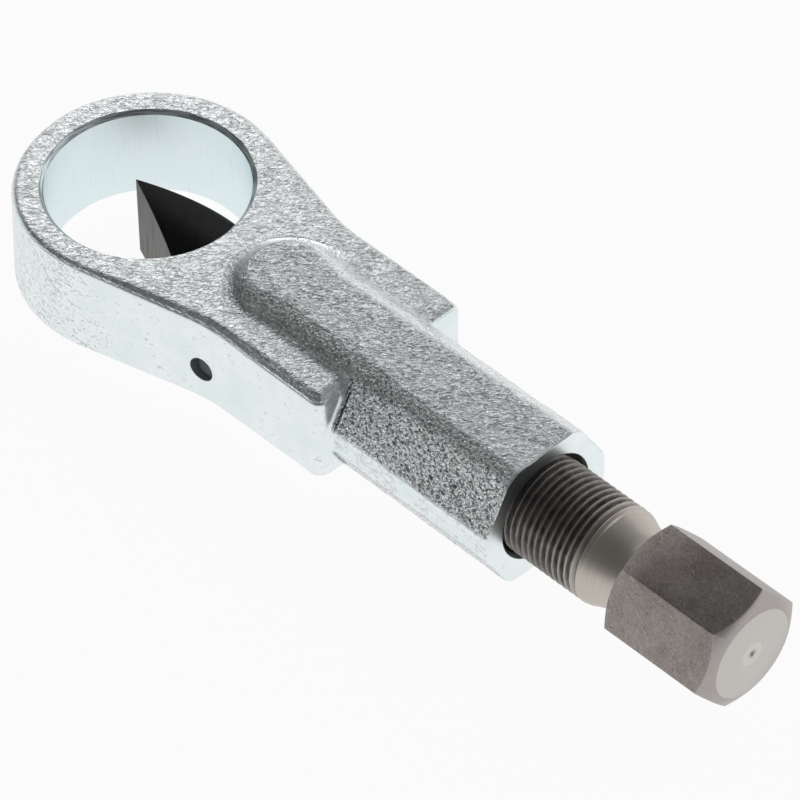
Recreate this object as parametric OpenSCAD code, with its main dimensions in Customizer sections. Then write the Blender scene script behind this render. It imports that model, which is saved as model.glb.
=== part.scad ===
// Nut splitter: a forged body with an eye that goes over the nut, a wedge chisel that
// slides in the body, and a screw spindle with a hexagon head that drives the chisel.
// The origin is the centre of the eye. +X runs along the spindle towards its head,
// +Z runs along the eye's bore, and -Y is the side with the guide pin.

/* [Eye] */
// Bore of the eye, which goes over the nut
eye_bore_d = 39.5; // [37:0.1:42]
// Outside diameter of the eye
eye_outer_d = 52; // [49:0.1:58]
// Chamfer at both ends of the eye's bore
eye_bore_chamfer = 0.9; // [0.3:0.1:1.6]

/* [Slab] */
// Thickness of the slab that carries the eye and the flange
slab_t = 21.2; // [19:0.1:23.5]
// Angle between the slab's tapering sides and the spindle axis
taper_angle = 13.75; // [11:0.25:16]
// Width of the flange behind the taper
flange_w = 36.4; // [34:0.1:40]
// Distance from the eye's centre to the rear end of the flange
flange_end_x = 65; // [58:0.5:75]
// Plan radius of the flange's rear corners
flange_corner_r = 2.5; // [1:0.1:5]
// Chamfer of the trimmed edges all round the slab
slab_chamfer = 1; // [0.4:0.1:1.8]

/* [Barrel] */
// Height of the hexagonal barrel across its top and bottom flats
barrel_h = 28; // [26:0.1:31]
// Distance across the barrel's four sloping facets
barrel_side_af = 28.8; // [28:0.1:31]
// Distance from the eye's centre to the barrel's end face
barrel_end_x = 105; // [95:0.5:114]
// Radius of the ridges beside the top and bottom flats
ridge_r = 3; // [1:0.1:4.5]
// Radius of the two outer ridges at the sides
side_ridge_r = 9; // [5:0.1:11]
// Distance from the eye's centre to the centre of the rounded nose
nose_x = 38.4; // [37:0.1:42]
// Fillet at the foot of the barrel on the flange
foot_fillet = 1; // [0.4:0.05:1.2]
// Fillet at the foot of the nose on the slab
nose_fillet = 1.3; // [0.6:0.05:1.8]
// Chamfer at the barrel's mouth, beyond the thread
mouth_chamfer = 1.1; // [0.5:0.1:2]

/* [Chisel] */
// Diameter of the chisel's shank
chisel_d = 18.3; // [17.4:0.1:18.8]
// Position of the cutting edge along the axis at rest
edge_x = -3.3; // [-6:0.1:2]
// Included angle of the wedge
wedge_angle = 45; // [40:1:60]
// Width of the flat ground on the cutting edge
edge_flat = 0.2; // [0.1:0.05:0.5]
// Depth of the keyway below the shank's surface
keyway_depth = 2.3; // [1.6:0.1:2.8]
// Solid length left between the keyway and the chisel's tail
tail_wall = 2; // [1.5:0.1:5]

/* [Guide pin] */
// Diameter of the guide pin
pin_d = 5; // [4:0.1:6]
// Distance from the eye's centre to the guide pin
pin_x = 33.9; // [32:0.1:36]
// Height of the guide pin's axis above the middle of the slab
pin_z = -2; // [-3:0.1:2]
// Depth of the pin's outer end below the slab's side
pin_recess = 0.5; // [0.2:0.1:1.5]

/* [Spindle] */
// Nominal diameter of the spindle's thread
thread_d = 20; // [19.4:0.1:21]
// Pitch of the thread
thread_pitch = 1.5; // [1:0.25:2]
// Turns that the spindle can go in from rest
turns_in = 9; // [7:1:10]
// Turns that the spindle can come out from rest
turns_out = 7; // [5:1:8]
// Length of the threaded part
thread_l = 70; // [66:0.1:85]
// Chamfer at the front end of the thread
thread_chamfer = 1.5; // [0.5:0.1:2.5]
// Length of the turned neck between the thread and the head
neck_l = 8.3; // [4:0.1:9]
// Smallest diameter of the neck
neck_d = 16.8; // [15:0.1:18.5]

/* [Head] */
// Width of the hexagon head across its flats
head_af = 22; // [19:1:24]
// Length of the head
head_l = 25.4; // [18:0.1:34]
// Turned chamfer on the outer end, measured along the axis at the corners
head_front_chamfer = 1.6; // [1:0.1:4]
// Diameter of the flat end face inside that chamfer
head_face_d = 18; // [16:0.1:21.5]
// Turned chamfer on the inner end, measured along the axis at the corners
head_rear_chamfer = 1.2; // [0.5:0.1:2.5]
// Angle of the head's corners about the axis at rest
head_turn = 10.1; // [0:0.1:60]
// Diameter of the lathe centre in the end face
centre_d = 2.4; // [1.5:0.1:4]

/* [Link between spindle and chisel] */
// Diameter of the spindle's nose, which turns in the chisel's tail
nose_d = 9; // [8:0.1:10]
// Depth of the socket in the chisel's tail
socket_depth = 9; // [8:0.1:12]
// Diameter of the retaining pin that lies in the nose's groove
retainer_d = 2.6; // [2:0.1:3]
// Distance of the retaining pin's axis from the chisel's tail
retainer_from_tail = 4.4; // [3.6:0.1:5.5]

/* [Clearances] */
// Running clearance of the chisel and the thread in the body, on the radius
running = 0.05; // [0.02:0.01:0.1]
// Running clearance of the nose in its socket, on the radius
nose_running = 0.08; // [0.03:0.01:0.1]
// Clearance of the guide pin in the keyway, on each side and at the floor
key_clearance = 0.15; // [0.1:0.05:0.3]
// Gap between the nose's end and the socket's floor
thrust_gap = 0.1; // [0.05:0.05:0.3]
// Gap between the chisel's tail and the spindle's shoulder
shoulder_gap = 0.3; // [0.2:0.05:0.6]
// Clearance of the retaining pin in the groove
groove_clearance = 0.1; // [0.05:0.05:0.3]
// Free length of the tapped bore past the spindle's innermost position
tap_runout = 0.8; // [0.5:0.1:3]

/* [Hidden] */
$fn = 96;

far = 200;
arc_steps = 6;

travel_in = turns_in * thread_pitch;
travel_out = turns_out * thread_pitch;

// Stations along the axis at rest
keyway_front = pin_x - travel_out - pin_d / 2 - key_clearance;
keyway_rear = pin_x + travel_in + pin_d / 2 + key_clearance;
tail_x = keyway_rear + tail_wall;
shoulder_x = tail_x + shoulder_gap;
tapped_from = shoulder_x - travel_in - tap_runout;
thread_end = shoulder_x + thread_l;
head_x = thread_end + neck_l;
head_end = head_x + head_l;
socket_floor = tail_x - socket_depth;
retainer_x = tail_x - retainer_from_tail;

// Radii and half sizes
guide_bore_r = chisel_d / 2 + running;
tapped_bore_r = thread_d / 2 + running;
groove_r = nose_d / 2 - retainer_d / 2;
retainer_y = groove_r + groove_clearance + retainer_d / 2;
retainer_half = sqrt(pow(chisel_d / 2, 2) - pow(retainer_y + retainer_d / 2, 2)) - 0.2;
keyway_floor = chisel_d / 2 - keyway_depth;
pin_tip = keyway_floor + key_clearance;
head_corner_r = head_af / 2 / cos(30);

// The tapering sides cut a little into the eye's outline, so that they meet it cleanly
taper_reach = eye_outer_d / 2 - 0.1;
taper_start = taper_reach * sin(taper_angle);
taper_meets_flange = (taper_reach - flange_w / 2 * cos(taper_angle)) / sin(taper_angle);
taper_overlap = 4;

// Half width of the barrel's sharp hexagon at height z, and the places of its corners
function barrel_half(z) = (barrel_side_af / 2 - abs(z) * sin(30)) / cos(30);
nose_proud = 0.2;

// One rounded corner: the arc of radius r that touches the lines from c to a and from c to b
function unit(v) = v / norm(v);
function rounded(a, c, b, r) =
    let (u = unit(a - c), v = unit(b - c), half = acos(u * v) / 2,
         m = c + unit(u + v) * r / sin(half),
         p = c + u * r / tan(half), q = c + v * r / tan(half),
         from = atan2(p[1] - m[1], p[0] - m[0]),
         to = atan2(q[1] - m[1], q[0] - m[0]),
         turn = to - from > 180 ? to - from - 360 : to - from < -180 ? to - from + 360 : to - from)
    [for (i = [0 : arc_steps]) m + r * [cos(from + turn * i / arc_steps), sin(from + turn * i / arc_steps)]];

// A closed outline with its own radius at each corner
function rounded_outline(pts, radii) =
    let (n = len(pts))
    [for (i = [0 : n - 1]) each radii[i] > 0
        ? rounded(pts[(i + n - 1) % n], pts[i], pts[(i + 1) % n], radii[i])
        : [pts[i]]];

// Turns a Z axis shape so that it lies along X
module along_x() {
    rotate([90, 0, 90]) children();
}

// Extrudes an outline drawn in Y and Z from one station to another along X
module section_x(from, to) {
    translate([from, 0, 0]) rotate([90, 0, 90]) linear_extrude(height = to - from) children();
}

// Half plane with chamfered edges, standing off the axis, as seen along the slab's side
module chamfered_side(reach) {
    polygon([
        [-far, -slab_t / 2],
        [reach - slab_chamfer, -slab_t / 2],
        [reach, -slab_t / 2 + slab_chamfer],
        [reach, slab_t / 2 - slab_chamfer],
        [reach - slab_chamfer, slab_t / 2],
        [-far, slab_t / 2]
    ]);
}

// Eye: a disc with chamfered edges
module eye_disc() {
    rotate_extrude() polygon([
        [0, -slab_t / 2],
        [eye_outer_d / 2 - slab_chamfer, -slab_t / 2],
        [eye_outer_d / 2, -slab_t / 2 + slab_chamfer],
        [eye_outer_d / 2, slab_t / 2 - slab_chamfer],
        [eye_outer_d / 2 - slab_chamfer, slab_t / 2],
        [0, slab_t / 2]
    ]);
}

// One tapering side as a long prism, turned to the taper's angle
module taper_side(side) {
    mirror([0, side < 0 ? 1 : 0, 0])
        rotate([0, 0, -taper_angle])
            rotate([90, 0, 90])
                linear_extrude(height = 2 * far, center = true) chamfered_side(taper_reach);
}

// The slab between the eye and the flange, which it runs into
module taper_body() {
    length = taper_meets_flange + taper_overlap - taper_start;
    intersection() {
        taper_side(1);
        taper_side(-1);
        translate([taper_start, -far / 2, -far / 2]) cube([length, far, far]);
    }
}

// The flange: parallel sides, chamfered edges and rounded rear corners
module flange_body() {
    front = taper_meets_flange - taper_overlap;
    side = flange_w / 2;
    top = slab_t / 2;
    cut = slab_chamfer;
    intersection() {
        linear_extrude(height = far, center = true) polygon(rounded_outline(
            [[front, -side], [flange_end_x, -side], [flange_end_x, side], [front, side]],
            [0, flange_corner_r, flange_corner_r, 0]));
        section_x(front - 1, flange_end_x + 1) polygon([
            [-side + cut, -top], [side - cut, -top],
            [side + 1, -top + cut + 1], [side + 1, top - cut - 1],
            [side - cut, top], [-side + cut, top],
            [-side - 1, top - cut - 1], [-side - 1, -top + cut + 1]
        ]);
        translate([0, far / 2, 0]) rotate([90, 0, 0]) linear_extrude(height = far) polygon([
            [front - 1, -top - 1], [flange_end_x - cut - 1, -top - 1],
            [flange_end_x + 1, -top + cut + 1], [flange_end_x + 1, top - cut - 1],
            [flange_end_x - cut - 1, top + 1], [front - 1, top + 1]
        ]);
    }
}

// The barrel's section: a hexagon whose ridges are rounded
module barrel_section() {
    top = barrel_h / 2;
    wide = barrel_half(0);
    w = barrel_half(top);
    polygon(rounded_outline(
        [[w, top], [-w, top], [-wide, 0], [-w, -top], [w, -top], [wide, 0]],
        [ridge_r, ridge_r, side_ridge_r, ridge_r, ridge_r, side_ridge_r]));
}

// The fillet where the barrel stands on the flange, above and below
module barrel_foot() {
    foot = slab_t / 2;
    for (s = [-1, 1])
        section_x(nose_x, flange_end_x - foot_fillet) polygon([
            [-barrel_half(foot) - foot_fillet, s * (foot - 1)],
            [barrel_half(foot) + foot_fillet, s * (foot - 1)],
            [barrel_half(foot) + foot_fillet, s * foot],
            [barrel_half(foot + foot_fillet), s * (foot + foot_fillet)],
            [-barrel_half(foot + foot_fillet), s * (foot + foot_fillet)],
            [-barrel_half(foot) - foot_fillet, s * foot]
        ]);
}

// The rounded nose that closes the barrel on the slab, with its foot fillet
module barrel_nose() {
    top = barrel_h / 2;
    foot = slab_t / 2;
    w = barrel_half(top) + nose_proud;
    step = barrel_half(foot + nose_fillet) + nose_proud;
    reach = barrel_half(foot) + nose_proud + nose_fillet;
    translate([nose_x, 0, 0]) rotate_extrude() polygon(rounded_outline(
        [[0, -top], [w, -top], [step, -foot - nose_fillet], [reach, -foot],
         [reach, foot], [step, foot + nose_fillet], [w, top], [0, top]],
        [0, ridge_r, 0, 0, 0, 0, ridge_r, 0]));
}

// Everything that is drilled in the body: eye, guide bore, tapped bore, mouth and pin hole
module body_bores() {
    cylinder(h = far, r = eye_bore_d / 2, center = true);
    for (s = [0, 1])
        mirror([0, 0, s])
            translate([0, 0, slab_t / 2 - eye_bore_chamfer])
                cylinder(h = eye_bore_chamfer + 1,
                         r1 = eye_bore_d / 2,
                         r2 = eye_bore_d / 2 + eye_bore_chamfer + 1);
    along_x() cylinder(h = tapped_from + 1, r = guide_bore_r);
    translate([tapped_from, 0, 0]) along_x() cylinder(h = far, r = tapped_bore_r);
    translate([barrel_end_x - mouth_chamfer, 0, 0]) along_x()
        cylinder(h = mouth_chamfer + 1, r1 = tapped_bore_r, r2 = tapped_bore_r + mouth_chamfer + 1);
    translate([pin_x, 0, pin_z]) rotate([90, 0, 0]) cylinder(h = far, d = pin_d);
}

// Forged body
module frame() {
    color([0.74, 0.76, 0.77]) difference() {
        union() {
            eye_disc();
            taper_body();
            flange_body();
            section_x(nose_x, barrel_end_x) barrel_section();
            barrel_foot();
            barrel_nose();
        }
        body_bores();
    }
}

// Wedge outline of the chisel seen from above, from the cutting edge to past the tail
module wedge_plan() {
    back = edge_x + chisel_d / tan(wedge_angle / 2);
    spread = edge_flat / 2 + (back - edge_x) * tan(wedge_angle / 2);
    polygon([
        [edge_x, -edge_flat / 2],
        [back, -spread],
        [back + far, -spread],
        [back + far, spread],
        [back, spread],
        [edge_x, edge_flat / 2]
    ]);
}

// Keyway: a round-ended slot in the shank, open to -Y
module keyway() {
    w = pin_d + 2 * key_clearance;
    for (x = [keyway_front + w / 2, keyway_rear - w / 2])
        translate([x, -keyway_floor, pin_z]) rotate([90, 0, 0]) cylinder(h = far, d = w);
    translate([keyway_front + w / 2, -keyway_floor - far, pin_z - w / 2])
        cube([keyway_rear - keyway_front - w, far, w]);
}

// Chisel: a round shank ground to a wedge, with its keyway, socket and pin hole
module chisel() {
    color([0.16, 0.16, 0.16]) difference() {
        intersection() {
            translate([edge_x, 0, 0]) along_x() cylinder(h = tail_x - edge_x, d = chisel_d);
            linear_extrude(height = far, center = true) wedge_plan();
        }
        keyway();
        translate([socket_floor, 0, 0]) along_x()
            cylinder(h = far, r = nose_d / 2 + nose_running);
        translate([retainer_x, retainer_y, 0]) cylinder(h = far, d = retainer_d, center = true);
    }
}

// Guide pin: pressed into the body from the side, its tip in the chisel's keyway
module guide_pin() {
    outer = flange_w / 2 - pin_recess;
    color([0.36, 0.39, 0.37])
        translate([pin_x, -pin_tip, pin_z]) rotate([90, 0, 0])
            cylinder(h = outer - pin_tip, d = pin_d);
}

// The turned part of the spindle: nose, groove, thread and neck
module spindle_turned() {
    nose_end = socket_floor + thrust_gap;
    nose_r = nose_d / 2;
    half_groove = retainer_d / 2 + groove_clearance;
    thread_r = thread_d / 2;
    neck_r = neck_d / 2;
    along_x() rotate_extrude() polygon(concat(
        [[0, nose_end],
         [nose_r - 0.5, nose_end],
         [nose_r, nose_end + 0.5],
         [nose_r, retainer_x - half_groove],
         [groove_r, retainer_x - half_groove],
         [groove_r, retainer_x + half_groove],
         [nose_r, retainer_x + half_groove],
         [nose_r, shoulder_x],
         [thread_r - thread_chamfer, shoulder_x],
         [thread_r, shoulder_x + thread_chamfer],
         [thread_r, thread_end],
         [thread_r - 0.3, thread_end + 0.2 * neck_l]],
        [for (i = [1 : arc_steps])
            [neck_r + (thread_r - 0.3 - neck_r) * (1 - sin(90 * i / arc_steps)),
             thread_end + neck_l * (0.2 + 0.55 * i / arc_steps)]],
        [[neck_r, head_x + 1],
         [0, head_x + 1]]));
}

// Hexagon head with a turned chamfer at each end and a lathe centre
module spindle_head() {
    difference() {
        intersection() {
            translate([head_x, 0, 0]) along_x()
                rotate([0, 0, head_turn]) cylinder(h = head_l, r = head_corner_r, $fn = 6);
            along_x() rotate_extrude() polygon([
                [0, head_x],
                [head_corner_r - head_rear_chamfer / tan(30), head_x],
                [head_corner_r + 0.1, head_x + head_rear_chamfer + 0.1 * tan(30)],
                [head_corner_r + 0.1, head_end - head_front_chamfer],
                [head_corner_r, head_end - head_front_chamfer],
                [head_face_d / 2, head_end],
                [0, head_end]
            ]);
        }
        translate([head_end - centre_d / 2, 0, 0]) along_x()
            cylinder(h = centre_d / 2 + 0.5, r1 = 0, r2 = centre_d / 2 + 0.5);
    }
}

// Spindle: one turned piece with the hexagon head
module spindle() {
    color([0.33, 0.31, 0.29]) union() {
        spindle_turned();
        spindle_head();
    }
}

// Retaining pin: lies across the chisel's tail and rides in the nose's groove
module retaining_pin() {
    color([0.55, 0.55, 0.55])
        translate([retainer_x, retainer_y, 0])
            cylinder(h = 2 * retainer_half, d = retainer_d, center = true);
}

frame();
chisel();
guide_pin();
spindle();
retaining_pin();
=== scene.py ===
# %% [markdown]
# # A nut splitter
# The tool is a forged steel body with a ring eye, a black wedge chisel that slides in the body,
# and a screw spindle with a hexagon head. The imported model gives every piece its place, so this
# script only has to dress those solids: soft forged edges, a real helical thread, and finishes.

# %% Load the frame
import math
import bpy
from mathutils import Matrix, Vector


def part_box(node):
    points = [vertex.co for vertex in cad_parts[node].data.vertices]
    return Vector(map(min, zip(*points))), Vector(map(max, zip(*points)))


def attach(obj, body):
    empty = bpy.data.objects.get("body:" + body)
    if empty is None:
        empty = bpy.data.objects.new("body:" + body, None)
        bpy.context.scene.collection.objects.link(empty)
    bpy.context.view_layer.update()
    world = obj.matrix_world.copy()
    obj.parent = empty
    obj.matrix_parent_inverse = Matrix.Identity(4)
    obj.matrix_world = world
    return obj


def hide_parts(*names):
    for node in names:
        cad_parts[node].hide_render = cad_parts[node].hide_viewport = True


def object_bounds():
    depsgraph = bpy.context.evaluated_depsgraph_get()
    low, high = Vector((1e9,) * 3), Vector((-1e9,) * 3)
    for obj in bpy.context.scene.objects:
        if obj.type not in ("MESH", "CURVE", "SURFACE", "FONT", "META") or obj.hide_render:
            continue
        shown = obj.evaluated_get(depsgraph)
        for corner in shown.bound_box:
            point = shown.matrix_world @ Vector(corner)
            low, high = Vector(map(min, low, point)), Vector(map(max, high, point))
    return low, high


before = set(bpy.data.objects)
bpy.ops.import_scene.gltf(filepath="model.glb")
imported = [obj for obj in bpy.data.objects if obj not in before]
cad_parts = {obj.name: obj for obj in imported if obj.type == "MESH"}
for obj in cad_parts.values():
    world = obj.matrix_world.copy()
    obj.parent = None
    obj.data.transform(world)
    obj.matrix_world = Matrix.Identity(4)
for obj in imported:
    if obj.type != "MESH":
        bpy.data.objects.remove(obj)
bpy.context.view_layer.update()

from types import SimpleNamespace
import bpy
import bmesh
import numpy as np
from mathutils import Matrix, Vector, noise

MM = 0.001
scene = bpy.context.scene

# %% [markdown]
# ## Sizes
# All sizes are in millimetres, and are those of the solids or within some tenths of them. Where a
# solid can be asked, its box is read from the frame, so that the dressed piece stays in its place.

# %% Sizes shared by several pieces
EYE_BORE_R = 19.75
EYE_R = 26.05
SLAB_HALF = 10.6
FLANGE_HALF = 18.2
FLANGE_END = 65.0
BARREL_HALF = 14.0
BARREL_FACET = 14.5
BARREL_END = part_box("frame")[1].x / MM
NOSE_X = 38.4
BARREL_SIDE = 15.45
LOWER_HALF_MORE = 0.45
PIN_X, PIN_Z, PIN_R = 33.9, -2.0, 2.5
CHISEL_R = 9.15
EDGE_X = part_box("chisel")[0].x / MM
TAIL_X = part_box("chisel")[1].x / MM
THREAD_R, PITCH = 10.0, 1.5
SPINDLE_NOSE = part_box("spindle")[0].x / MM
SHOULDER = TAIL_X + 0.3
THREAD_END = SHOULDER + 70.0
HEAD_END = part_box("spindle")[1].x / MM
HEAD_X = HEAD_END - 25.4
HEAD_AF, HEAD_TURN = 22.0, 10.1
print("barrel end", round(BARREL_END, 2), "head from", round(HEAD_X, 2), "to", round(HEAD_END, 2))

# %% [markdown]
# ## Camera
# The photograph was taken with a long lens from the right and above. The place, roll and lens were
# found by fitting the outlines of the eye, the barrel and the head, so the camera is written as
# numbers: a target on the tool, a distance, two angles and a small roll.

# %% Camera
CAM_AZ, CAM_EL, CAM_ROLL = (math.radians(a) for a in (46.19, 45.452, -1.032))
CAM_DIST, CAM_FOCAL_PX, FRAME_PX, SENSOR = 1108.8, 6011.63, 800, 36
CAM_AIM, AIM_RIGHT, AIM_DOWN = Vector((60, 0, 0)), 5.243, 3.401
back = Vector((math.sin(CAM_AZ) * math.cos(CAM_EL),
               -math.cos(CAM_AZ) * math.cos(CAM_EL),
               math.sin(CAM_EL)))
level = Vector((math.cos(CAM_AZ), math.sin(CAM_AZ), 0))
upright = back.cross(level)
right = level * math.cos(CAM_ROLL) + upright * math.sin(CAM_ROLL)
up = upright * math.cos(CAM_ROLL) - level * math.sin(CAM_ROLL)
target = CAM_AIM + right * AIM_RIGHT - up * AIM_DOWN
cam_data = bpy.data.cameras.new("camera")
cam_data.sensor_width = SENSOR
cam_data.sensor_height = SENSOR
cam_data.sensor_fit = "HORIZONTAL"
cam_data.lens = CAM_FOCAL_PX / FRAME_PX * SENSOR
cam_data.clip_start = 0.05
cam_data.clip_end = 50
camera = bpy.data.objects.new("camera", cam_data)
scene.collection.objects.link(camera)
axes = Matrix((right, up, back)).transposed().to_4x4()
camera.matrix_world = Matrix.Translation((target + back * CAM_DIST) * MM) @ axes
scene.camera = camera
print("camera at", [round(c, 3) for c in camera.location], "lens", round(cam_data.lens, 1))

# %% [markdown]
# ## Small mesh tools
# A few helpers make every piece. One turns arrays of points and faces into an object, and two make
# the closed shapes of a workshop from it: a profile turned on a lathe, and a straight prism. The
# normals are worked out again at the end, so that every face points outwards.

# %% Points and faces
def piece(name, points_mm, faces):
    """An object at the origin from points in millimetres."""
    mesh = bpy.data.meshes.new(name)
    points = (np.asarray(points_mm, float) * MM).tolist()
    mesh.from_pydata(points, [], [list(map(int, f)) for f in faces])
    mesh.validate()
    obj = bpy.data.objects.new(name, mesh)
    scene.collection.objects.link(obj)
    return obj


def face_outwards(obj):
    """Recalculates the normals of a closed mesh."""
    bm = bmesh.new()
    bm.from_mesh(obj.data)
    bmesh.ops.remove_doubles(bm, verts=bm.verts, dist=1e-7)
    bmesh.ops.recalc_face_normals(bm, faces=bm.faces)
    bm.to_mesh(obj.data)
    bm.free()

# %% Lathe and prism
def lathe(name, profile, segments, axis="x", centre=(0, 0, 0)):
    """Turns (station, radius) pairs round an axis. The first and last pairs lie on the axis."""
    rows = [p for p in profile if p[1] > 0]
    turn = np.linspace(0, 2 * math.pi, segments, endpoint=False)
    rings = np.array([[(s, r * math.cos(t), r * math.sin(t)) for t in turn] for s, r in rows])
    rings = rings.reshape(-1, 3)
    points = np.vstack([rings, [(profile[0][0], 0, 0)], [(profile[-1][0], 0, 0)]])
    first, last, n = len(rings), len(rings) + 1, len(rows)
    faces = []
    for j in range(n - 1):
        here, there = j * segments, (j + 1) * segments
        for i in range(segments):
            k = (i + 1) % segments
            faces.append((here + i, here + k, there + k, there + i))
    for i in range(segments):
        k = (i + 1) % segments
        faces.append((first, k, i))
        faces.append((last, (n - 1) * segments + i, (n - 1) * segments + k))
    order = {"x": (0, 1, 2), "y": (2, 0, 1), "z": (1, 2, 0)}[axis]
    obj = piece(name, points[:, order] + np.array(centre), faces)
    face_outwards(obj)
    return obj


def prism(name, outline, low, high, plane="xy"):
    """A straight prism on a convex outline drawn in the xy, xz or yz plane."""
    n = len(outline)
    points = [(a, b, low) for a, b in outline] + [(a, b, high) for a, b in outline]
    faces = [tuple(range(n)), tuple(range(n, 2 * n))]
    faces += [(i, (i + 1) % n, (i + 1) % n + n, i + n) for i in range(n)]
    order = {"xy": (0, 1, 2), "xz": (0, 2, 1), "yz": (2, 0, 1)}[plane]
    obj = piece(name, np.array(points, float)[:, order], faces)
    face_outwards(obj)
    return obj

# %% [markdown]
# Other helpers work on a finished shape: cutting it with another mesh or keeping what both share,
# rounding its edges a little, and shading it smooth. Each modifier is made a plain mesh at once,
# and the cutters are thrown away again.

# %% Cutting and edges
def apply_all(obj):
    """Turns an object's modifiers into its plain mesh."""
    bpy.context.view_layer.update()
    evaluated = obj.evaluated_get(bpy.context.evaluated_depsgraph_get())
    mesh = bpy.data.meshes.new_from_object(evaluated)
    old = obj.data
    obj.modifiers.clear()
    obj.data = mesh
    bpy.data.meshes.remove(old)
    mesh.name = obj.name


def machine(obj, operation, *cutters):
    """Cuts obj with closed meshes, or keeps what they share, and removes them."""
    for cutter in cutters:
        step = obj.modifiers.new("cut", "BOOLEAN")
        step.operation = operation
        step.solver = "MANIFOLD"
        step.object = cutter
        apply_all(obj)
        bpy.data.objects.remove(cutter)


def break_edges(obj, width, angle, segments=2):
    """Rounds the sharp edges of a machined piece a little."""
    step = obj.modifiers.new("edges", "BEVEL")
    step.width = width * MM
    step.segments = segments
    step.limit_method = "ANGLE"
    step.angle_limit = math.radians(angle)
    apply_all(obj)


def smooth(obj, angle):
    """Smooth shading with edges kept sharp above an angle."""
    obj.data.polygons.foreach_set("use_smooth", np.ones(len(obj.data.polygons), bool))
    obj.data.set_sharp_from_angle(angle=math.radians(angle))

# %% [markdown]
# ## The forged body
# A drop forging has no sharp edge anywhere: every corner is rounded and every foot has a fillet.
# Edge bevels on a boxy mesh can't give fillets that run into each other, so the body is written
# as a distance field: a slab and a barrel, each with rounded edges, joined by a rounded union.
# The slab's edges are broken more on the side of the guide pin than on the other side.
# A surface net then turns the field into quads, and two Newton steps put the points on the field.

# %% Ways in which faces meet
def rounded_edge(a, b, r):
    """Where two faces meet in a convex edge of radius r."""
    return np.minimum(-r, np.maximum(a, b)) + np.hypot(np.maximum(a + r, 0), np.maximum(b + r, 0))


def fillet(a, b, r):
    """Where two bodies meet in a hollow of radius r."""
    return np.maximum(r, np.minimum(a, b)) - np.hypot(np.maximum(r - a, 0), np.maximum(r - b, 0))


def broken_edge(a, b, width, r):
    """Where two square faces meet in a flat chamfer, its own edges a little rounded."""
    flat = (a + b + width) / math.sqrt(2)
    return rounded_edge(rounded_edge(a, flat, r), b, r)


def flowing(a, b, width):
    """Where two outlines run into each other at a small angle."""
    share = np.clip(0.5 + 0.5 * (b - a) / width, 0, 1)
    return b + (a - b) * share - width * share * (1 - share)

# %% Slab with the eye and the flange
TAPER = math.radians(14.2)
TAPER_REACH = 26.15
TAPER_TO, FLANGE_FROM = 45, 24
EYE_FLOW, FLANGE_FLOW = 0.4, 1.1
CORNER_FAR, CORNER_NEAR_MORE = 1.0, 1.6
SLAB_EDGE, SLAB_EDGE_R, DRAFT = 0.9, 0.42, 0.025


def near_side(y):
    """1 on the side of the guide pin, 0 on the other."""
    return np.clip(0.5 - y / 10, 0, 1)


def slab_outline(x, y):
    """Plan of the slab: the eye, the tapering sides and the flange."""
    corner = CORNER_FAR + CORNER_NEAR_MORE * near_side(y)
    y = np.abs(y)
    eye = np.hypot(x, y) - EYE_R
    side = x * math.sin(TAPER) + y * math.cos(TAPER) - TAPER_REACH
    taper = np.maximum(np.maximum(side, TAPER_REACH * math.sin(TAPER) - x), x - TAPER_TO)
    flange = rounded_edge(y - FLANGE_HALF, x - FLANGE_END, corner)
    flange = np.maximum(flange, FLANGE_FROM - x)
    return flowing(flowing(eye, taper, EYE_FLOW), flange, FLANGE_FLOW)


def slab_edge(x, near):
    """Width of the broken edge. Towards the flange it grows on the near side only."""
    edge = SLAB_EDGE + np.clip((x - 5) / 45, 0, 1) * (1.3 * near - 0.5)
    return edge + 0.4 * (1 - near) * np.clip((x - 61) / 3, 0, 1)


print("taper meets the eye at", round(TAPER_REACH * math.sin(TAPER), 2), "mm")

# %% Barrel and the whole forging
NOSE_BACK, SIDE_EDGE_R = 0.86, 0.35
RIDGE_R, RIDGE_X = 3.9, 46
SAWN_OFF, END_EDGE_R, FOOT_R = 0.1, 0.45, 1.0


def from_barrel_axis(x, y):
    """Distance from the barrel's upright middle plane, or from the nose's centre ahead of it."""
    return np.where(x < NOSE_X, np.hypot(x - NOSE_X, y), np.abs(y))


def barrel_section(across, z, ahead, ridge):
    """Hexagon with flats above and below, trimmed at the sides. The nose leans back more."""
    lean = math.pi / 3 - math.pi / 12 * ahead
    reach = BARREL_FACET + LOWER_HALF_MORE * (z < 0)
    top_edge = (reach - BARREL_HALF / 2) / math.cos(math.pi / 6) - NOSE_BACK * ahead
    facet = (across - top_edge) * np.sin(lean) + (np.abs(z) - BARREL_HALF) * np.cos(lean)
    sides = rounded_edge(facet, across - BARREL_SIDE, SIDE_EDGE_R)
    return rounded_edge(sides, np.abs(z) - BARREL_HALF, ridge)


def ridge_radius(x):
    """The barrel's ridges are roundest behind the nose, and sharper towards both ends."""
    to_end, to_nose = np.clip((x - RIDGE_X) / 54, 0, 1), np.clip((RIDGE_X - x) / 14, 0, 1)
    return RIDGE_R - 1.6 * to_end - 3.3 * to_nose


def forging(x, y, z):
    """The body before any machining."""
    near = near_side(y)
    wall = slab_outline(x, y) + DRAFT * near * z
    slab = broken_edge(wall, np.abs(z) - SLAB_HALF, slab_edge(x, near), SLAB_EDGE_R)
    across = from_barrel_axis(x, y)
    ahead = np.clip((NOSE_X - x) / np.maximum(across, 1), 0, 1) ** 2
    barrel = barrel_section(across, z, ahead, ridge_radius(x))
    barrel = rounded_edge(barrel, x - BARREL_END - SAWN_OFF, END_EDGE_R)
    return fillet(slab, barrel, FOOT_R)


print("ridge radius at the flange", round(float(ridge_radius(FLANGE_END)), 2), "mm")

# %% [markdown]
# A surface net looks at each cell of a grid, finds where its edges cross the surface, and puts one
# point at the mean of those places. Points of neighbouring cells are joined by quads.

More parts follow.
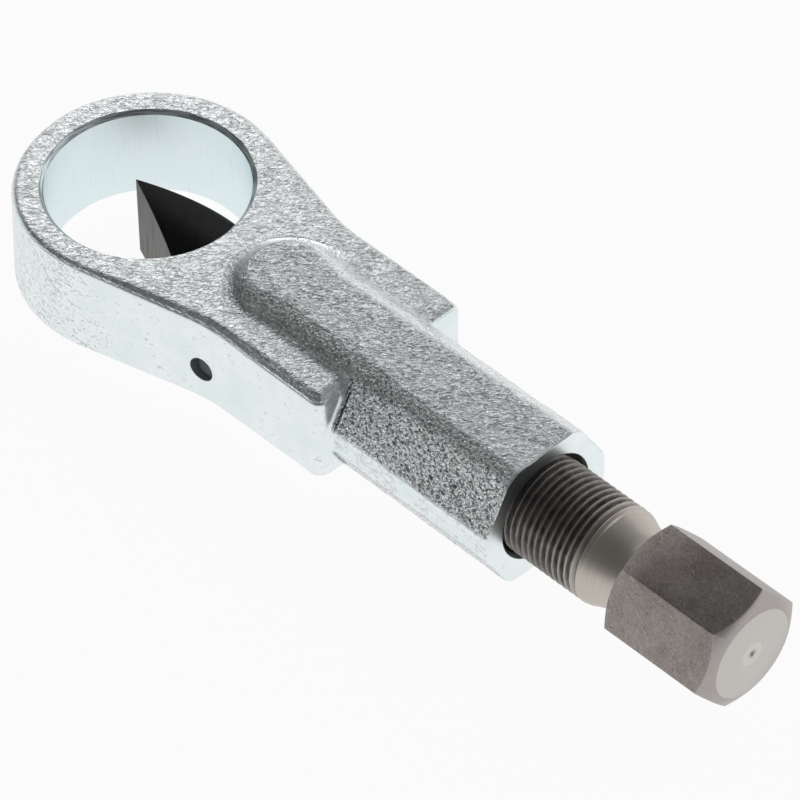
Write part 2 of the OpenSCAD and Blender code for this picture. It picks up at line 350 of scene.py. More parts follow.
# %% Surface net
def surface_net(field, low, high, step):
    """Quads on the zero level of a field, sampled on a grid."""
    grid = [np.arange(a, b + step, step) for a, b in zip(low, high)]
    f = field(*np.meshgrid(*grid, indexing="ij")).astype(np.float32)
    cells = tuple(s - 1 for s in f.shape)
    total, count = np.zeros(cells + (3,), np.float32), np.zeros(cells, np.float32)
    quads = []
    for axis in range(3):
        g = np.moveaxis(f, axis, 0)
        a, b = g[:-1], g[1:]
        crossed = (a < 0) != (b < 0)
        t = np.where(crossed, a / np.where(crossed, a - b, 1), 0)
        sums, counts = np.moveaxis(total, axis, 0), np.moveaxis(count, axis, 0)
        others = [k for k in range(3) if k != axis]
        for du in (0, 1):
            for dv in (0, 1):
                hit = crossed[:, du:du + counts.shape[1], dv:dv + counts.shape[2]]
                counts += hit
                sums[..., axis] += t[:, du:du + counts.shape[1], dv:dv + counts.shape[2]]
                sums[..., others[0]] += hit * du
                sums[..., others[1]] += hit * dv
        quads.append((axis, others, crossed, a < 0))
    active = count > 0
    index = np.full(cells, -1, np.int64)
    index[active] = np.arange(active.sum())
    where = np.argwhere(active)
    points = np.array(low) + step * (where + total[active] / count[active][:, None])
    faces = []
    for axis, others, crossed, inside in quads:
        i, u, v = np.nonzero(crossed[:, 1:-1, 1:-1])
        n = np.moveaxis(index, axis, 0)
        corners = np.stack([n[i, u, v], n[i, u + 1, v], n[i, u + 1, v + 1], n[i, u, v + 1]], 1)
        flip = inside[:, 1:-1, 1:-1][i, u, v] ^ (axis == 1)
        corners[~flip] = corners[~flip][:, ::-1]
        faces.append(corners)
    return points, np.vstack(faces)


def on_field(field, points, rounds=2, h=0.02):
    """Moves points along the gradient onto the zero level, and returns the normals too."""
    for _ in range(rounds):
        x, y, z = points.T
        value = field(x, y, z)
        slope = np.stack([field(x + h, y, z) - field(x - h, y, z),
                          field(x, y + h, z) - field(x, y - h, z),
                          field(x, y, z + h) - field(x, y, z - h)], 1) / (2 * h)
        size = np.maximum(np.linalg.norm(slope, axis=1), 0.3)
        points = points - slope * (np.clip(value, -0.4, 0.4) / size ** 2)[:, None]
    return points, slope / size[:, None]


NET_STEP, NET_LOW, NET_HIGH = 0.47, (-27.6, -27.4, -15.4), (107.5, 27.4, 15.4)
points, quads = surface_net(forging, NET_LOW, NET_HIGH, NET_STEP)
points, normals = on_field(forging, points)
print("forging net", len(points), "points", len(quads), "quads")

# %% [markdown]
# The skin of a forging is never flat. Scale and die wear leave shallow dents a few millimetres
# wide, which belong in the mesh, while the finest wrinkles are left to the finish. The sides of the
# slab were trimmed after forging, so they stay smooth.

# %% Dents of the forged skin
DENT, DENT_WIDE, RIPPLE, RIPPLE_WIDE, RIPPLE_AWAY = 0.11, 4.5, 0.055, 1.5, 7
DENT_ON_TRIM, SKIN_IN = 0.15, 0.03


def trimmed(x, y, z, nz):
    """1 on the trimmed walls of the slab and the barrel, 0 on the forged skin."""
    wall = np.clip((0.95 - np.abs(nz)) / 0.3, 0, 1)
    slab = np.clip((slab_outline(x, y) + 1.9) / 0.5, 0, 1)
    slab = slab * (np.abs(z) < SLAB_HALF) * (x < FLANGE_END + 0.6)
    side = np.clip((0.4 - np.abs(nz)) / 0.25, 0, 1)
    side = side * (np.abs(y) > BARREL_SIDE - 0.6) * (x > FLANGE_END)
    return np.maximum(wall * slab, side)


def dent_at(p):
    """How far the skin stands out at a point: wide dents with a finer ripple on them."""
    wide = noise.noise(Vector(p / DENT_WIDE))
    fine = noise.noise(Vector(p / RIPPLE_WIDE + RIPPLE_AWAY))
    return DENT * wide + RIPPLE * fine


dent = np.array([dent_at(p) for p in points])
skin = 1 - trimmed(*points.T, normals[:, 2])
out = dent * (DENT_ON_TRIM + (1 - DENT_ON_TRIM) * skin) - SKIN_IN
body = piece("forged_body", points + normals * out[:, None], quads)
deepest = round(float(np.abs(dent).max()), 3)
print("forged body", len(body.data.polygons), "faces, dents up to", deepest, "mm")

# %% [markdown]
# ## Machining the body
# After forging, the barrel is sawn off square, the eye is bored and chamfered, the barrel is drilled
# out from behind, and a small hole is drilled in from the side for the guide pin. The same order is
# followed here, with a closed cutter for each tool, so the machined edges come out crisp.

# %% Bores, end face and pin hole
GUIDE_R, TAP_R, TAP_FROM, MOUTH = 9.2, 10.05, 38.05, 1.1
EYE_CHAMFER, CUT_PAST = 0.9, 20
HOLE_R = PIN_R + 0.02
wide = EYE_BORE_R + EYE_CHAMFER + CUT_PAST - SLAB_HALF
eye_cutter = lathe("eye_cutter", [
    (-CUT_PAST, 0), (-CUT_PAST, wide), (-SLAB_HALF + EYE_CHAMFER, EYE_BORE_R),
    (SLAB_HALF - EYE_CHAMFER, EYE_BORE_R), (CUT_PAST, wide), (CUT_PAST, 0)], 192, axis="z")
bore_cutter = lathe("bore_cutter", [
    (0, 0), (0, GUIDE_R), (TAP_FROM - 1, GUIDE_R), (TAP_FROM, TAP_R),
    (BARREL_END - MOUTH, TAP_R), (BARREL_END + 5, TAP_R + MOUTH + 5), (BARREL_END + 5, 0)], 128)
saw_square = [(-40, -40), (40, -40), (40, 40), (-40, 40)]
saw_cutter = prism("saw_cutter", saw_square, BARREL_END, BARREL_END + 9, "yz")
pin_cutter = lathe("pin_cutter", [(-25, 0), (-25, HOLE_R), (-8, HOLE_R), (-8, 0)], 64,
                   axis="y", centre=(PIN_X, 0, PIN_Z))
machine(body, "DIFFERENCE", saw_cutter, eye_cutter, bore_cutter, pin_cutter)
smooth(body, 38)
print("machined body", len(body.data.polygons), "faces")

# %% [markdown]
# The finish has to know where a tool has cut, where the trimming press has sheared and where the
# tool is rubbed in use. All three are written on the mesh as attributes: "cut" per face, so that
# it changes at the very edge, and "trim" and "ridge" per point, so that they fade. "ridge" is high
# on the barrel's upper ridges and round its nose, where the skin is smoother.

# %% Where the body is cut
def vectors(items, field):
    """A vector for each face or point of a mesh, as rows of x, y and z."""
    flat = np.zeros(len(items) * 3)
    items.foreach_get(field, flat)
    return flat.reshape(-1, 3).T


def write(mesh, name, domain, values):
    """Keeps one number for each face or point as a mesh attribute."""
    mesh.attributes.new(name, "FLOAT", domain).data.foreach_set("value", values.astype(np.float32))


def mark_cuts(mesh):
    """Writes 1 on the faces that a tool has cut, and keeps the sawn end flat."""
    x, y, z = vectors(mesh.polygons, "center") / MM
    nz = vectors(mesh.polygons, "normal")[2]
    from_axis = np.hypot(y, z)
    eye = (np.hypot(x, y) < EYE_BORE_R + EYE_CHAMFER + 0.25) & (np.abs(nz) < 0.85)
    mouth = (from_axis < TAP_R + MOUTH + 0.05) & (x > 60)
    guide = (from_axis < GUIDE_R + 1) & (x > 10)
    end = x > BARREL_END - 0.02
    pin = (np.hypot(x - PIN_X, z - PIN_Z) < PIN_R + 0.1) & (y < -GUIDE_R + 1)
    cut = eye | mouth | guide | end | pin
    write(mesh, "cut", "FACE", cut)
    mesh.polygons.foreach_set("use_smooth", ~end)
    return int(cut.sum())


print("cut faces", mark_cuts(body.data))

# %% Where the body is trimmed and rubbed
def mark_skin(mesh):
    """Writes how far each point is trimmed, and how far it lies on a rubbed ridge."""
    x, y, z = vectors(mesh.vertices, "co") / MM
    nz = vectors(mesh.vertices, "normal")[2]
    trim, slope = trimmed(x, y, z, nz), np.abs(nz)
    ridge = np.clip((0.985 - slope) / 0.03, 0, 1) * np.clip((slope - 0.62) / 0.15, 0, 1)
    ridge = ridge * (np.abs(z) > 11.3)
    across = from_barrel_axis(x, y)
    nose = np.clip((across - 7.3) / 0.5, 0, 1) * np.clip((13 - across) / 0.8, 0, 1)
    nose = nose * np.clip((44 - x) / 8, 0, 1) * (np.abs(z) > SLAB_HALF - 0.3)
    write(mesh, "trim", "POINT", trim)
    write(mesh, "ridge", "POINT", np.maximum(0.9 * ridge, nose))
    return float(trim.mean())


print("mean trim", round(mark_skin(body.data), 3))

# %% [markdown]
# ## The spindle's screw
# The spindle is turned from bar: a nose that sits in the chisel, the thread, and a hollow neck
# before the head. The blank is turned on the lathe with close rings where the thread goes.
# The thread is a rule that repeats every pitch, so Geometry Nodes cut it: each point finds its
# phase from its station and its angle, and moves inwards by the depth of the groove there. The
# flanks of the groove stand at about sixty degrees to each other.

# %% Blank of the screw
NECK_R, NECK_L, NECK_TOP = 8.4, HEAD_X - THREAD_END, THREAD_R - 0.3
GROOVE_X, GROOVE_R, GROOVE_HALF, NOSE_R = TAIL_X - 4.4, 3.2, 1.4, 4.5
FINE_FROM, FINE, COARSE, RUN_DOWN = 90.0, 0.1, 0.3, 1.4


def stations(a, b, step):
    """Even places along the axis, with both ends among them."""
    return list(np.linspace(a, b, max(2, int(round((b - a) / step)) + 1)))


def neck_at(t):
    """Station and radius in the hollow of the neck, from 0 at the thread to 1 near the head."""
    station = THREAD_END + NECK_L * (0.18 + 0.57 * t)
    return station, NECK_R + (NECK_TOP - NECK_R) * (1 - math.sin(t * math.pi / 2))


blank = [(SPINDLE_NOSE, 0), (SPINDLE_NOSE, NOSE_R - 0.5), (SPINDLE_NOSE + 0.5, NOSE_R),
         (GROOVE_X - GROOVE_HALF, NOSE_R), (GROOVE_X - GROOVE_HALF, GROOVE_R),
         (GROOVE_X + GROOVE_HALF, GROOVE_R), (GROOVE_X + GROOVE_HALF, NOSE_R),
         (SHOULDER, NOSE_R), (SHOULDER, THREAD_R - 1.5)]
blank += [(x, THREAD_R) for x in stations(SHOULDER + 1.5, FINE_FROM, COARSE)]
blank += [(x, THREAD_R) for x in stations(FINE_FROM + FINE, THREAD_END, FINE)]
blank += [(x, THREAD_R - 0.3 * ((x - THREAD_END) / RUN_DOWN) ** 2)
          for x in stations(THREAD_END + FINE, THREAD_END + RUN_DOWN, FINE)]
blank += [neck_at(t) for t in np.linspace(0, 1, 16)]
blank += [(HEAD_X - 0.6, NECK_R), (HEAD_X - 0.2, NECK_R + 0.12),
          (HEAD_X + 0.5, NECK_R + 0.6), (HEAD_X + 0.5, 0)]
screw = lathe("spindle_screw", blank, 104)
print("screw blank", len(screw.data.polygons), "faces")

# %% [markdown]
# Node trees are built from two small classes. Tree adds any node with its settings and its inputs,
# and Val wraps a socket, so that a sum or a product of values adds its Math nodes by itself. The
# thread and all the finishes are written with them.

# %% Node trees
class Tree:
    """Builds a node tree: one method for any node, and numbers or sockets as inputs."""

    def __init__(self, tree):
        self.tree = tree

    def add(self, kind, settings=None, **inputs):
        made = self.tree.nodes.new(kind)
        for key, value in (settings or {}).items():
            setattr(made, key, value)
        for key, value in inputs.items():
            numbered = key[0] == "i" and key[1:].isdigit()
            socket = int(key[1:]) if numbered else key.replace("_", " ")
            self.feed(made.inputs[socket], value)
        return made

    def feed(self, socket, value):
        if isinstance(value, Val):
            value = value.socket
        if isinstance(value, bpy.types.NodeSocket):
            self.tree.links.new(value, socket)
        else:
            socket.default_value = value

    def val(self, made, output=0):
        return Val(self, made.outputs[output])

# %% Arithmetic with sockets
class Val:
    """A socket that takes part in Python arithmetic and adds Math nodes as it goes."""

    def __init__(self, tree, socket):
        self.tree, self.socket = tree, socket

    def math(self, operation, *others, clamp=False):
        made = self.tree.add("ShaderNodeMath", {"operation": operation, "use_clamp": clamp})
        for socket, value in zip(made.inputs, (self,) + others):
            self.tree.feed(socket, value)
        return Val(self.tree, made.outputs[0])

    def __add__(self, other):
        return self.math("ADD", other)

    def __sub__(self, other):
        return self.math("SUBTRACT", other)

    def __mul__(self, other):
        return self.math("MULTIPLY", other)

    def __truediv__(self, other):
        return self.math("DIVIDE", other)

    def __rsub__(self, other):
        return (self * -1) + other

    __radd__, __rmul__ = __add__, __mul__

    def limit(self, low, high):
        """0 at low, 1 at high, straight between and flat beyond."""
        return ((self - low) / (high - low)).math("ADD", 0.0, clamp=True)

    def ease(self, low, high):
        """Like limit, with soft ends."""
        made = self.tree.add("ShaderNodeMapRange", {"interpolation_type": "SMOOTHSTEP"})
        for socket, value in zip(made.inputs, (self, low, high, 0.0, 1.0)):
            self.tree.feed(socket, value)
        return Val(self.tree, made.outputs[0])

# %% Thread-cutting tree
THREAD_SIZES = ("Pitch", "Depth", "From", "To", "Run-out")
ROOT_TO, CREST_FROM = 0.22, 0.86


def thread_tree():
    """Geometry Nodes that cut a helical groove into a turned blank along x."""
    group = bpy.data.node_groups.new("cut_thread", "GeometryNodeTree")
    face = group.interface
    face.new_socket("Geometry", in_out="INPUT", socket_type="NodeSocketGeometry")
    for name in THREAD_SIZES:
        face.new_socket(name, in_out="INPUT", socket_type="NodeSocketFloat")
    face.new_socket("Material", in_out="INPUT", socket_type="NodeSocketMaterial")
    face.new_socket("Geometry", in_out="OUTPUT", socket_type="NodeSocketGeometry")
    t = Tree(group)
    given = t.add("NodeGroupInput")
    pitch, depth, start, end, fade = (t.val(given, name) for name in THREAD_SIZES)
    place = t.add("GeometryNodeInputPosition")
    split = t.add("ShaderNodeSeparateXYZ", Vector=place.outputs[0])
    x, y, z = (t.val(split, i) for i in range(3))
    turn = z.math("ARCTAN2", y) / (2 * math.pi)
    phase = (x / pitch - turn).math("FRACT")
    slope = (phase * 2 - 1).math("ABSOLUTE")
    groove = 1 - slope.limit(ROOT_TO, CREST_FROM)
    inside = x.ease(start, start + fade) * (1 - x.ease(end - fade, end))
    radius = (y * y + z * z).math("SQRT")
    on_shank = radius.limit(9.2 * MM, 9.6 * MM)
    cut = groove * inside * on_shank
    share = cut * depth / radius * -1
    move = t.add("ShaderNodeCombineXYZ", X=0.0, Y=y * share, Z=z * share)
    keep = t.add("GeometryNodeStoreNamedAttribute", {"data_type": "FLOAT", "domain": "POINT"},
                 Geometry=given.outputs["Geometry"], Name="groove", Value=cut)
    shaped = t.add("GeometryNodeSetPosition", Geometry=keep.outputs[0], Offset=move.outputs[0])
    real = t.add("GeometryNodeRealizeInstances", Geometry=shaped.outputs[0])
    coated = t.add("GeometryNodeSetMaterial", Geometry=real.outputs[0],
                   Material=given.outputs["Material"])
    t.add("NodeGroupOutput", Geometry=coated.outputs[0])
    print("thread tree of", len(group.nodes), "nodes")
    return group


def cut_thread(obj, material, **sizes):
    """Runs the tree on a blank and keeps the result as its plain mesh."""
    step = obj.modifiers.new("thread", "NODES")
    step.node_group = thread_tree()
    inputs = [i for i in step.node_group.interface.items_tree if i.in_out == "INPUT"]
    named = {i.name: i.identifier for i in inputs}
    for name, value in sizes.items():
        step[named[name.replace("_", "-")]] = value
    step[named["Material"]] = material
    apply_all(obj)

# %% [markdown]
# ## Finishes
# One small class makes a material: it starts with a Principled shader, reads the object's own
# coordinates in millimetres, and gives noise, bumps and colour mixes as short calls. The zinc
# skin, the blackened chisel and the oiled spindle are all made with it.

# %% A class for finishes
class Finish(Tree):
    """A material under one Principled shader, on object coordinates in millimetres."""

    def __init__(self, name):
        self.material = bpy.data.materials.new(name)
        self.material.use_nodes = True
        super().__init__(self.material.node_tree)
        self.shader = self.tree.nodes["Principled BSDF"]
        where = self.add("ShaderNodeTexCoord")
        self.mm = self.add("ShaderNodeVectorMath", {"operation": "SCALE"},
                           Vector=where.outputs["Object"], Scale=1 / MM)
        split = self.add("ShaderNodeSeparateXYZ", Vector=self.mm.outputs[0])
        self.x, self.y, self.z = (self.val(split, i) for i in range(3))

    def stretched(self, size, turn=(0, 0, 0)):
        """Object coordinates turned, then divided by a size for each direction."""
        made = self.add("ShaderNodeMapping", {"vector_type": "TEXTURE"}, Vector=self.mm.outputs[0],
                        Rotation=turn, Scale=size)
        return made.outputs[0]

    def noise(self, size, detail=2.0, rough=0.5, vector=None, warp=0.0):
        """Noise from 0 to 1 whose largest grains have this size in millimetres."""
        made = self.add("ShaderNodeTexNoise", {"noise_type": "FBM", "normalize": True},
                        Vector=vector or self.mm.outputs[0], Scale=1.0 / size, Detail=detail,
                        Roughness=rough, Distortion=warp)
        return self.val(made)

    def mix(self, share, one, two):
        """Colour one where share is 0, colour two where it is 1."""
        made = self.add("ShaderNodeMix", {"data_type": "RGBA"})
        self.feed(made.inputs[0], share)
        for socket, value in ((made.inputs[6], one), (made.inputs[7], two)):
            self.feed(socket, (*value, 1.0) if isinstance(value, tuple) else value)
        return made.outputs[2]

    def blend(self, share, one, two):
        """Number one where share is 0, number two where it is 1."""
        return one + (two - one) * share

    def attribute(self, name):
        return self.val(self.add("ShaderNodeAttribute", {"attribute_name": name}), "Fac")

    def bump(self, height, distance_mm, strength=1.0):
        made = self.add("ShaderNodeBump", Height=height, Distance=distance_mm * MM, Strength=strength)
        return made.outputs[0]

    def set(self, **inputs):
        for key, value in inputs.items():
            self.feed(self.shader.inputs[key.replace("_", " ")], value)


def dress(obj, finish, body_name, node):
    """Gives a piece its finish and its body, and hides the solid it stands for."""
    obj.data.materials.clear()
    obj.data.materials.append(finish.material)
    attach(obj, body_name)
    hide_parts(node)
    print(obj.name, "wears", finish.material.name, "of", len(finish.tree.nodes), "nodes")

# %% [markdown]
# ### Zinc on a forging
# The zinc is bright; what shows is the skin below it, and its colour also carries painted light and
# shade. The flat tops have wrinkles that lie across the picture, coarser on the barrel than on the
# slab. The sloping facets have a finer stipple, and the rubbed ridges are smoother. Cut and trimmed
# faces are nearly smooth, with a few scratches and nicks. Masks from 0 to 1 tell these places apart.

# %% Places on the body
def body_places(f):
    on = SimpleNamespace(cut=f.attribute("cut"), ridge=f.attribute("ridge"))
    on.high = f.z.math("ABSOLUTE")
    aside = f.y.math("ABSOLUTE").limit(BARREL_SIDE - 0.25, BARREL_SIDE - 0.12)
    aside = aside * f.x.limit(FLANGE_END + 0.8, FLANGE_END + 1.2) * (1 - on.high.limit(4.5, 5.0))
    on.trim = f.attribute("trim").math("MAXIMUM", aside)
    rim = f.x.limit(BARREL_END - 0.5, BARREL_END - 0.3)
    on.plain = (on.cut + on.trim).math("MAXIMUM", rim * 0.8).math("MINIMUM", 1.0)
    on.forged = 1 - on.plain
    slab_top = on.high.limit(9.8, 10.4) * (1 - f.x.limit(64, 66))
    on.flat = (slab_top + on.high.limit(13.4, 13.8)).math("MINIMUM", 1.0) * (1 - on.ridge)
    on.far = f.y.limit(2.0, 6.0)
    on.upper = on.high.limit(12.0, 13.0)
    on.bored = on.cut * (1 - f.x.limit(BARREL_END - 0.3, BARREL_END - 0.1))
    from_pin = ((f.x - PIN_X) * (f.x - PIN_X) + (f.z - PIN_Z) * (f.z - PIN_Z)).math("SQRT")
    on.hole = (1 - from_pin.limit(PIN_R + 0.08, PIN_R + 0.14)) * (1 - f.y.limit(-10.0, -9.0))
    from_axis = (f.y * f.y + f.z * f.z).math("SQRT")
    on.mouth = (1 - from_axis.limit(TAP_R + MOUTH - 0.08, TAP_R + MOUTH)) * f.x.limit(90.0, 91.0)
    return on

# %% [markdown]
# On the forged skin the same pattern drives the bump and the colour: its hollows are painted darker,
# as painted shade in the wrinkles. The ridges get a fixed tone: a painted highlight on the far side
# and darker painted shade on the near side. Where the barrel leaves the flange, a thin dark line is
# painted shade in the groove at the foot of the side, and a raised lip is bumped beside it.

# %% Forged skin
def forged_skin(f, on):
    """Colour with painted shade and highlight, height, and the share of the bright colour, for the skin
    the die has left.
    """
    lie = (0, 0, math.radians(42))
    wrinkle = f.noise(1.0, 3.0, 0.5, vector=f.stretched((1.15, 0.6, 1.0), lie), warp=1.2)
    coarse = f.noise(1.2, 3.0, 0.5, vector=f.stretched((1.1, 0.65, 1.0), lie), warp=1.2)
    stipple = f.noise(0.62, 2.0, 0.5, warp=0.7)
    on_tops = f.blend(on.upper, wrinkle, coarse) * 0.85 + stipple * 0.15
    pattern = f.blend(on.flat, stipple, on_tops)
    rough = on.forged * (1 - on.ridge * (0.6 + on.far * 0.25)) * (0.8 + on.upper * 0.5)
    height = pattern * rough * f.blend(on.flat, 2.6, 0.85 + on.upper * 0.7)
    below = 1 - on.high.limit(9.3, 9.8)
    past = f.x - FLANGE_END
    lip = (past.limit(1.1, 1.4) - past.limit(1.4, 1.9)) * below
    height = height + lip * on.forged * 0.9
    # Share of the bright colour: painted shade in the hollows of the pattern; on the ridges a fixed
    # share, a painted highlight on the far side and painted shade on the near side.
    painted_light_share = f.blend(on.ridge * (0.7 + on.far * 0.3), pattern.limit(0.36, 0.54), 0.45 + on.far * 0.55)
    # Colour of the hollows, darker on the facets than on the flats: painted shade.
    hollow_shade = f.mix(on.flat * (1 - on.upper * 0.2), (0.17, 0.185, 0.19), (0.40, 0.425, 0.435))
    colour = f.mix(painted_light_share, hollow_shade, (0.88, 0.91, 0.92))
    # A thin near-black line at the foot of the barrel's side: painted shade in the groove there.
    foot_shade_line = (past.limit(0.75, 0.9) - past.limit(1.05, 1.2)) * below
    colour = f.mix(foot_shade_line, colour, (0.04, 0.045, 0.045))
    return colour, height, painted_light_share

# %% Trimmed and cut zinc
def clean_zinc(f, on):
    """Colour and height of the faces that the press or a tool has left nearly smooth, with painted
    shade in the holes.
    """
    cloud = f.noise(7.0, 3.0, 0.5)
    worn = 0.57 + f.x.limit(2.0, 18.0) * 0.08 - f.x.limit(65.5, 66.5) * 0.075 - (cloud - 0.5) * 0.25
    smear = f.noise(0.75, 4.0, 0.62, vector=f.stretched((1.7, 1.7, 0.75), (0.5, 0.35, 0)), warp=1.5)
    nick = (smear - worn).limit(0.0, 0.07) * on.trim * (1 - on.cut)
    scratch = f.noise(1.0, 2.0, 0.6, vector=f.stretched((0.3, 0.3, 6.0)))
    turned = f.noise(1.0, 2.0, 0.6, vector=f.stretched((5.0, 5.0, 0.22)))
    chamfer_z = SLAB_HALF - EYE_CHAMFER
    chamfer = on.bored * on.high.limit(chamfer_z - 0.04, chamfer_z + 0.04)
    colour = f.mix(cloud.limit(0.35, 0.65), (0.81, 0.89, 0.895), (0.89, 0.94, 0.95))
    colour = f.mix(nick * 0.5, colour, (0.46, 0.48, 0.48))
    colour = f.mix(on.bored * 0.8, colour, (0.83, 0.945, 0.965))
    colour = f.mix(on.bored * scratch.limit(0.6, 0.76) * 0.28, colour, (0.52, 0.60, 0.62))
    colour = f.mix(chamfer * turned.limit(0.42, 0.6) * 0.75, colour, (0.18, 0.20, 0.205))
    # Painted shade in the holes: the mouth of the tapped hole is painted near black as the shadow in
    # it, and the pin hole's wall dark grey, partly oil and partly painted shade.
    dark = f.mix(on.hole, (0.09, 0.10, 0.10), (0.34, 0.38, 0.38))
    colour = f.mix((on.hole + on.mouth).math("MINIMUM", 1.0), colour, dark)
    return colour, scratch * on.cut * 0.02 - nick * 0.12

# %% Forged zinc
def forged_zinc():
    """Forged skin and clean faces in one finish. Only the pin hole's wall, dark grey for oil and
    painted shade, isn't metallic.
    """
    f = Finish("forged_zinc")
    on = body_places(f)
    skin, skin_height, painted_light_share = forged_skin(f, on)
    clean, clean_height = clean_zinc(f, on)
    on_tops = f.blend(painted_light_share, 0.42, 0.33) - on.upper * 0.06
    on_skin = f.blend(on.flat, 0.27 - on.far * on.ridge * 0.07, on_tops)
    f.set(Base_Color=f.mix(on.plain, skin, clean), Metallic=1 - on.hole * on.plain,
          Roughness=f.blend(on.plain, on_skin, f.blend(on.bored, 0.3, 0.37)),
          Normal=f.bump(skin_height + clean_height, 0.42, 1.0))
    return f


dress(body, forged_zinc(), "body", "frame")

# %% [markdown]
# ### Oiled screw steel
# The thread is nearly black in the grooves and lighter on the crests.
# The neck was turned last and is bare, so it is pale with fine rings.

# %% Screw finish
def screw_steel():
    f = Finish("screw_steel")
    groove = f.attribute("groove")
    grime = f.noise(2.2, 4.0, 0.6)
    bare = f.x.ease(THREAD_END - 4.0, THREAD_END + 0.6) * (1 - groove * 0.5)
    crest = 1 - groove.limit(0.02, 0.45)
    dark = f.mix(grime.limit(0.35, 0.65), (0.14, 0.131, 0.126), (0.26, 0.243, 0.23))
    worn = f.x.ease(THREAD_END - 10, THREAD_END - 2) * 0.5
    steel = f.mix(grime.limit(0.3, 0.7), (0.20, 0.187, 0.175), (0.32, 0.30, 0.28))
    steel = f.mix(worn, steel, (0.62, 0.58, 0.53))
    thread = f.mix(crest, dark, steel)
    rings = f.noise(0.12, 1.0, 0.5, vector=f.stretched((1.0, 60.0, 60.0)))
    neck = f.mix(rings.limit(0.3, 0.7), (0.58, 0.535, 0.485), (0.64, 0.595, 0.54))
    f.set(Base_Color=f.mix(bare, thread, neck), Metallic=0.9,
          Roughness=f.blend(bare, f.blend(crest, 0.55, 0.36), 0.42),
          Normal=f.bump(f.blend(bare, grime, rings), 0.03, 0.6))
    return f


screw_finish = screw_steel()
cut_thread(screw, screw_finish.material, Pitch=PITCH * MM, Depth=0.9 * MM, From=(SHOULDER + 0.4) * MM,
           To=(THREAD_END + 1.5) * MM, Run_out=4.5 * MM)
smooth(screw, 50)
dress(screw, screw_finish, "spindle", "spindle")
print("thread cut", len(screw.data.polygons), "faces")

# %% [markdown]
# ## The hexagon head
# The head is a hexagon bar whose ends are turned to a cone, which leaves the curved edges that
# every bolt head has. Keeping what a hexagon prism and a turned blank share gives those edges
# exactly, and a narrow bevel takes off the sharpness.

# %% Head
HEAD_CORNER = HEAD_AF / 2 / math.cos(math.pi / 6)
REAR_CONE, FRONT_CONE, BLANK_MORE = 1.2, 2.0, 0.4
turns = [math.radians(HEAD_TURN + 60 * i) for i in range(6)]
corners = [(HEAD_CORNER * math.cos(a), HEAD_CORNER * math.sin(a)) for a in turns]
head = prism("spindle_head", corners, HEAD_X - 1, HEAD_END + 1, "yz")
turned = lathe("head_blank", [
    (HEAD_X, 0), (HEAD_X, HEAD_CORNER - REAR_CONE / math.tan(math.pi / 6)),
    (HEAD_X + REAR_CONE, HEAD_CORNER), (HEAD_X + REAR_CONE + 0.1, HEAD_CORNER + BLANK_MORE),
    (HEAD_END - FRONT_CONE - 0.1, HEAD_CORNER + BLANK_MORE), (HEAD_END - FRONT_CONE, HEAD_CORNER),
    (HEAD_END - 0.45, 10.2), (HEAD_END, 9.1), (HEAD_END, 0.7),
    (HEAD_END - 0.2, 0.35), (HEAD_END - 0.3, 0.3), (HEAD_END - 0.3, 0)], 168)
machine(head, "INTERSECT", turned)
break_edges(head, 0.22, 24)
smooth(head, 30)
print("head", len(head.data.polygons), "faces")

# %% [markdown]
# A spanner rubs the edges of a head bright. The bevel's narrow faces are found by their normals,
# which belong neither to a flat nor to a cone nor to an end, and are written down per face as the
# attribute "edge". The flats are brown with fine dark and light marks, and the turned end is pale.

# %% Worn edges of the head
def mark_edges(mesh):
    """Writes 1 on the narrow faces between the flats, the cones and the ends."""
    nx, ny, nz = vectors(mesh.polygons, "normal")
    _, y, z = vectors(mesh.polygons, "center") / MM
    turn = (np.degrees(np.arctan2(nz, ny)) - HEAD_TURN) % 60 - 30
    flat = (np.abs(turn) < 2) & (np.abs(nx) < 0.05)
    front = (nx > 0.6) & (np.hypot(y, z) < 12.6)
    rear = np.abs(nx + 0.866) < 0.02
    edge = ~(flat | front | rear | (np.abs(nx) > 0.97))
    write(mesh, "edge", "FACE", edge)
    return int(edge.sum())


print("worn edge faces", mark_edges(head.data))

